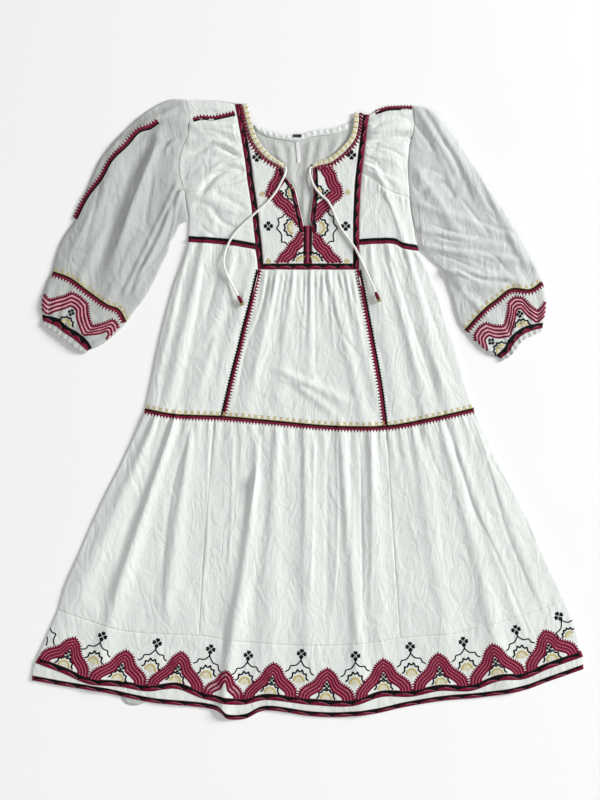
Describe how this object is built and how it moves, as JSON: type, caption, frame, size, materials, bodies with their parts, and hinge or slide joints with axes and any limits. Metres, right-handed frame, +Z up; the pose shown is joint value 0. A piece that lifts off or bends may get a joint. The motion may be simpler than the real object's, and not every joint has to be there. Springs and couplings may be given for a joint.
{
  "type": "peasant dress",
  "caption": "Peasant dress laid flat: full gathered sleeves, embroidered yoke, cuffs and hem band, tiered skirt, and a tasselled drawcord at the neck.",
  "frame": {"origin": "at the surface that the dress lies on, under the middle of the dress's outline", "axes": "+Z up from the surface through the front, +Y towards the neck, +X right in a view from above"},
  "size_m": [1.0359, 1.1654, 0.017],
  "materials": {
    "ivory_cloth": "soft crinkled cotton crepe",
    "embroidered_cloth": "cotton covered with crimson, black and pale gold thread",
    "crimson_trim": "satin-stitched band with a black edge",
    "black_trim": "satin-stitched band, black over crimson",
    "cord": "twisted cotton",
    "tassel": "wound thread head with loose pale gold strands",
    "neck_label": "woven, bare",
    "care_label": "satin, bare"
  },
  "bodies": {
    "root": {"shoulder_left": "ivory_cloth", "shoulder_right": "ivory_cloth", "chest_upper_left": "ivory_cloth", "chest_upper_right": "ivory_cloth", "chest_lower_left": "ivory_cloth", "chest_lower_right": "ivory_cloth", "skirt_upper_left": "ivory_cloth", "skirt_upper_centre": "ivory_cloth", "skirt_upper_right": "ivory_cloth", "skirt_lower_left": "ivory_cloth", "skirt_lower_centre": "ivory_cloth", "skirt_lower_right": "ivory_cloth", "hem_band_front": "ivory_cloth", "back_bodice": "ivory_cloth", "back_skirt_upper": "ivory_cloth", "back_skirt_lower": "ivory_cloth", "back_hem_band": "ivory_cloth", "neck_casing_back": "ivory_cloth", "sleeve_left": "ivory_cloth", "sleeve_right": "ivory_cloth", "cuff_left": "ivory_cloth", "cuff_right": "ivory_cloth", "bib_left": "embroidered_cloth", "bib_right": "embroidered_cloth", "neck_binding_left": "embroidered_cloth", "neck_binding_right": "embroidered_cloth", "sleeve_band_left": "embroidered_cloth", "sleeve_band_right": "embroidered_cloth", "bib_band_left": "crimson_trim", "bib_band_right": "crimson_trim", "bib_band_bottom": "crimson_trim", "placket": "crimson_trim", "hem_ribbon_upper": "crimson_trim", "hem_ribbon_lower": "crimson_trim", "waist_band_left": "black_trim", "waist_band_right": "black_trim", "drawcord_left": "cord", "drawcord_right": "cord", "tassel_left": "tassel", "tassel_right": "tassel", "neck_label": "neck_label", "care_label": "care_label"}
  },
  "joints": []
}
